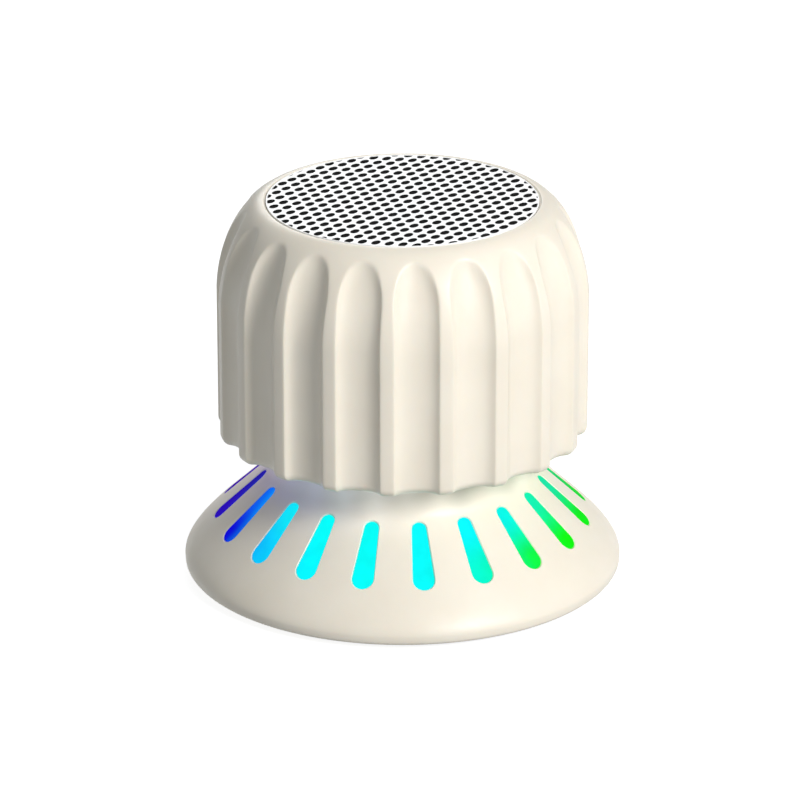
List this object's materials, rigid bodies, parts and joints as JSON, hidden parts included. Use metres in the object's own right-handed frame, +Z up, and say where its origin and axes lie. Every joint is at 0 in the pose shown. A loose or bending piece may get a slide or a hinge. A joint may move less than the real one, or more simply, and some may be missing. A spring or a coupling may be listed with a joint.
{
  "type": "shower speaker",
  "caption": "Small splash-proof wireless speaker: a fluted round body with a perforated top grille on a flared, LED-lit, slotted base that stands on a suction cup.",
  "frame": {"origin": "centre of the footprint, on the surface that the suction cup rests on", "axes": "+Z up along the axis of body and base, -Y the front, +Y the side with the control panel and the charging port"},
  "size_m": [0.065, 0.065, 0.0576],
  "materials": {
    "ivory_plastic": "moulded ABS, soft semi-gloss, warm ivory",
    "light_guide": "translucent moulded acrylic, lit from behind: blue, cyan and green round the ring",
    "white_metal": "white powder coat on punched sheet",
    "black_cloth": "fine black mesh",
    "led_board": "white solder mask",
    "led_white": "white LED package with clear top",
    "dark_plastic": "black moulded ABS, matt",
    "clear_rubber": "translucent soft PVC",
    "steel": "zinc plated",
    "black_rubber": "black rubber, matt",
    "foam": "closed cell foam",
    "battery_foil": "laminated pouch foil, satin",
    "green_board": "green solder mask",
    "soft_ivory": "ivory silicone, matt",
    "black_paper": "black pressed paper",
    "copper": "enamelled copper wire",
    "spider_cloth": "resin stiffened cloth",
    "ferrite": "sintered ferrite, matt",
    "wire": "red PVC insulation",
    "black_wire": "black PVC sleeve"
  },
  "bodies": {
    "housing": {"body_shell": "ivory_plastic", "base_shell": "ivory_plastic", "light_guide": "light_guide", "grille": "white_metal", "grille_cloth": "black_cloth", "led_board": "led_board", "rgb_led_1": "led_white", "rgb_led_2": "led_white", "rgb_led_3": "led_white", "rgb_led_4": "led_white", "rgb_led_5": "led_white", "rgb_led_6": "led_white", "base_cover": "dark_plastic", "body_floor": "dark_plastic", "tact_switch_1": "dark_plastic", "tact_switch_2": "dark_plastic", "tact_switch_3": "dark_plastic", "terminal_strip": "dark_plastic", "amplifier_chip": "dark_plastic", "suction_cup": "clear_rubber", "base_screw_1": "steel", "base_screw_2": "steel", "base_screw_3": "steel", "neck_screw_1": "steel", "neck_screw_2": "steel", "neck_screw_3": "steel", "board_screw_1": "steel", "board_screw_2": "steel", "board_screw_3": "steel", "driver_screw_1": "steel", "driver_screw_2": "steel", "driver_screw_3": "steel", "driver_screw_4": "steel", "usb_port": "steel", "microphone": "steel", "bluetooth_module": "steel", "driver_basket": "steel", "top_plate": "steel", "yoke": "steel", "neck_seal": "black_rubber", "surround": "black_rubber", "battery_pad": "foam", "driver_gasket": "foam", "battery": "battery_foil", "main_board": "green_board", "button_board": "green_board", "control_panel": "soft_ivory", "spider": "spider_cloth", "magnet": "ferrite", "speaker_lead": "wire", "battery_lead": "wire", "led_lead": "black_wire"},
    "cone_assembly": {"cone": "black_paper", "dust_cap": "black_paper", "voice_coil": "copper"},
    "volume_up_key": {"volume_up_button": "soft_ivory"},
    "play_key": {"play_button": "soft_ivory"},
    "volume_down_key": {"volume_down_button": "soft_ivory"},
    "flap": {"port_flap": "soft_ivory"}
  },
  "joints": [
    {"name": "cone_travel", "type": "slide", "parent": "housing", "child": "cone_assembly", "axis": [0, 0, 1], "range_m": [-0.0008, 0.0008], "stiffness_N_per_m": 1200, "deforming": ["surround", "spider"]},
    {"name": "volume_up_press", "type": "slide", "parent": "housing", "child": "volume_up_key", "axis": [0, -1, 0], "range_m": [0, 0.0005], "stiffness_N_per_m": 300},
    {"name": "play_press", "type": "slide", "parent": "housing", "child": "play_key", "axis": [0, -1, 0], "range_m": [0, 0.0005], "stiffness_N_per_m": 300},
    {"name": "volume_down_press", "type": "slide", "parent": "housing", "child": "volume_down_key", "axis": [0, -1, 0], "range_m": [0, 0.0005], "stiffness_N_per_m": 300},
    {"name": "flap_hinge", "type": "hinge", "parent": "housing", "child": "flap", "pos_m": [0, 0.0263, 0.0311], "axis": [-1, 0, 0], "range_deg": [0, 110]}
  ]
}
